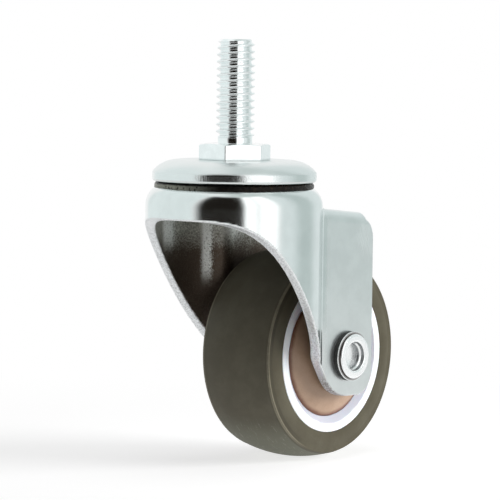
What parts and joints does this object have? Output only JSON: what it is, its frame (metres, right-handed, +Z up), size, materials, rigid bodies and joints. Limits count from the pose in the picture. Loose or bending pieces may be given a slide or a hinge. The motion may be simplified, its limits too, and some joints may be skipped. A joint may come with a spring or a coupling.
{
  "type": "swivel furniture castor",
  "caption": "Swivel furniture castor: threaded stem with a hexagon collar, round top cap, one-piece pressed fork and a soft-tyred wheel on a rivet axle.",
  "frame": {"origin": "on the stem's axis, at the top face of the hexagon collar that seats on the furniture", "axes": "+Z up along the stem, +X the way the wheel trails from the swivel axis, Y along the axle"},
  "size_m": [0.0616, 0.0362, 0.0871],
  "materials": {
    "stem_zinc": "bright zinc plated",
    "cap_zinc": "bright zinc plated, with a turned band",
    "fork_zinc": "bright zinc plated, satin on the legs",
    "rivet_zinc": "bright zinc plated",
    "race_zinc": "zinc plated",
    "sleeve_steel": "drawn steel",
    "bearing_steel": "turned",
    "ball_steel": "polished",
    "grease": "wet grease",
    "tyre_rubber": "matte moulded",
    "core_plastic": "moulded gloss",
    "cover_plastic": "moulded satin"
  },
  "bodies": {
    "stem": {"threaded_stem": "stem_zinc", "top_cap": "cap_zinc", "lower_race": "race_zinc", "retaining_washer": "race_zinc"},
    "fork": {"fork": "fork_zinc", "race_grease": "grease", "axle_rivet": "rivet_zinc", "axle_sleeve": "sleeve_steel", "near_inner_race": "bearing_steel", "far_inner_race": "bearing_steel"},
    "wheel": {"tyre": "tyre_rubber", "wheel_core": "core_plastic", "near_dust_cover": "cover_plastic", "far_dust_cover": "cover_plastic", "near_outer_race": "bearing_steel", "far_outer_race": "bearing_steel"},
    "swivel_balls": {"upper_balls": "ball_steel", "lower_balls": "ball_steel"},
    "wheel_balls": {"near_wheel_balls": "ball_steel", "far_wheel_balls": "ball_steel"}
  },
  "joints": [
    {"name": "swivel", "type": "hinge", "parent": "stem", "child": "fork", "pos_m": [0, 0, 0], "axis": [0, 0, 1], "continuous": true},
    {"name": "wheel_spin", "type": "hinge", "parent": "fork", "child": "wheel", "pos_m": [0.0215, 0, -0.0439], "axis": [0, 1, 0], "continuous": true},
    {"name": "swivel_ball_roll", "type": "hinge", "parent": "stem", "child": "swivel_balls", "pos_m": [0, 0, 0], "axis": [0, 0, 1], "continuous": true},
    {"name": "wheel_ball_roll", "type": "hinge", "parent": "fork", "child": "wheel_balls", "pos_m": [0.0215, 0, -0.0439], "axis": [0, 1, 0], "continuous": true}
  ],
  "couplings": [
    {"joint": "swivel_ball_roll", "follows": "swivel", "ratio": 0.5},
    {"joint": "wheel_ball_roll", "follows": "wheel_spin", "ratio": 0.61}
  ]
}
